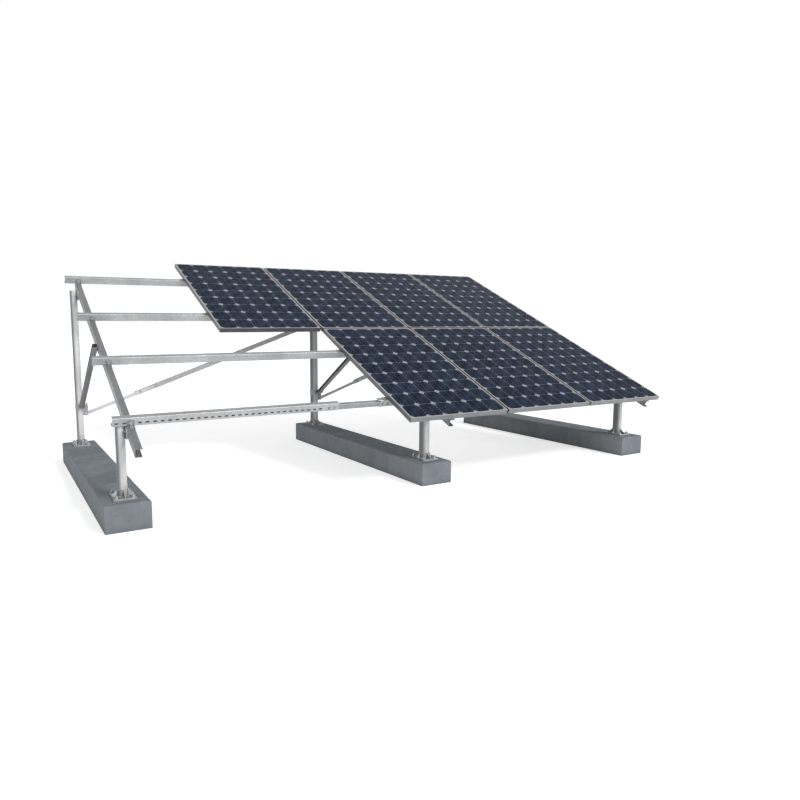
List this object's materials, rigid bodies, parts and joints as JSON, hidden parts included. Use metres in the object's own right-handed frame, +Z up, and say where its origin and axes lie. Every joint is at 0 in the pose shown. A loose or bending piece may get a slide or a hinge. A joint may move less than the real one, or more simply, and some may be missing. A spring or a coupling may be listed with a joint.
{
  "type": "solar panel mounting structure",
  "caption": "Ground-mounted solar array structure: strip footings, galvanised posts, struts and rafters carry purlins with framed photovoltaic modules; part of the purlins is left free.",
  "frame": {"origin": "on the ground under the centre of the bounding box", "axes": "+X along the purlins towards the right end, +Y from the low front edge to the high rear edge, +Z up"},
  "size_m": [5.3, 3.0446, 1.9879],
  "materials": {
    "concrete": "cast concrete, slightly pitted",
    "post_steel": "hot-dip galvanised",
    "channel_steel": "galvanised strip, dull",
    "purlin_steel": "galvanised strip",
    "bracket_steel": "hot-dip galvanised, dull",
    "brace_steel": "hot-dip galvanised",
    "fastener_steel": "zinc plated",
    "frame_alloy": "anodised",
    "laminate": "blue cells under clear textured glass",
    "box_plastic": "moulded"
  },
  "bodies": {
    "root": {"footing_left": "concrete", "footing_middle": "concrete", "footing_right": "concrete", "post_front_left": "post_steel", "post_front_middle": "post_steel", "post_front_right": "post_steel", "post_rear_left": "post_steel", "post_rear_middle": "post_steel", "post_rear_right": "post_steel", "anchor_bolts": "fastener_steel", "anchor_nuts": "fastener_steel", "rafter_left": "channel_steel", "rafter_middle": "channel_steel", "rafter_right": "channel_steel", "strut_left": "channel_steel", "strut_middle": "channel_steel", "strut_right": "channel_steel", "strut_clamp_left": "bracket_steel", "strut_clamp_middle": "bracket_steel", "strut_clamp_right": "bracket_steel", "brace_clamp_middle": "bracket_steel", "brace_clamp_right": "bracket_steel", "brace_bar_left": "brace_steel", "brace_angle_left": "brace_steel", "brace_bar_right": "brace_steel", "brace_angle_right": "brace_steel", "purlin_ridge": "purlin_steel", "purlin_upper": "purlin_steel", "purlin_lower": "purlin_steel", "purlin_eave_left": "purlin_steel", "purlin_eave_right": "purlin_steel", "splice_channel": "bracket_steel", "purlin_cleats": "bracket_steel", "end_stops": "frame_alloy", "module_frame_1": "frame_alloy", "module_frame_2": "frame_alloy", "module_frame_3": "frame_alloy", "module_frame_4": "frame_alloy", "module_frame_5": "frame_alloy", "module_frame_6": "frame_alloy", "module_frame_7": "frame_alloy", "laminate_1": "laminate", "laminate_2": "laminate", "laminate_3": "laminate", "laminate_4": "laminate", "laminate_5": "laminate", "laminate_6": "laminate", "laminate_7": "laminate", "junction_box_1": "box_plastic", "junction_box_2": "box_plastic", "junction_box_3": "box_plastic", "junction_box_4": "box_plastic", "junction_box_5": "box_plastic", "junction_box_6": "box_plastic", "junction_box_7": "box_plastic", "frame_bolts": "fastener_steel", "frame_nuts": "fastener_steel", "module_bolts": "fastener_steel", "module_nuts": "fastener_steel"}
  },
  "joints": []
}
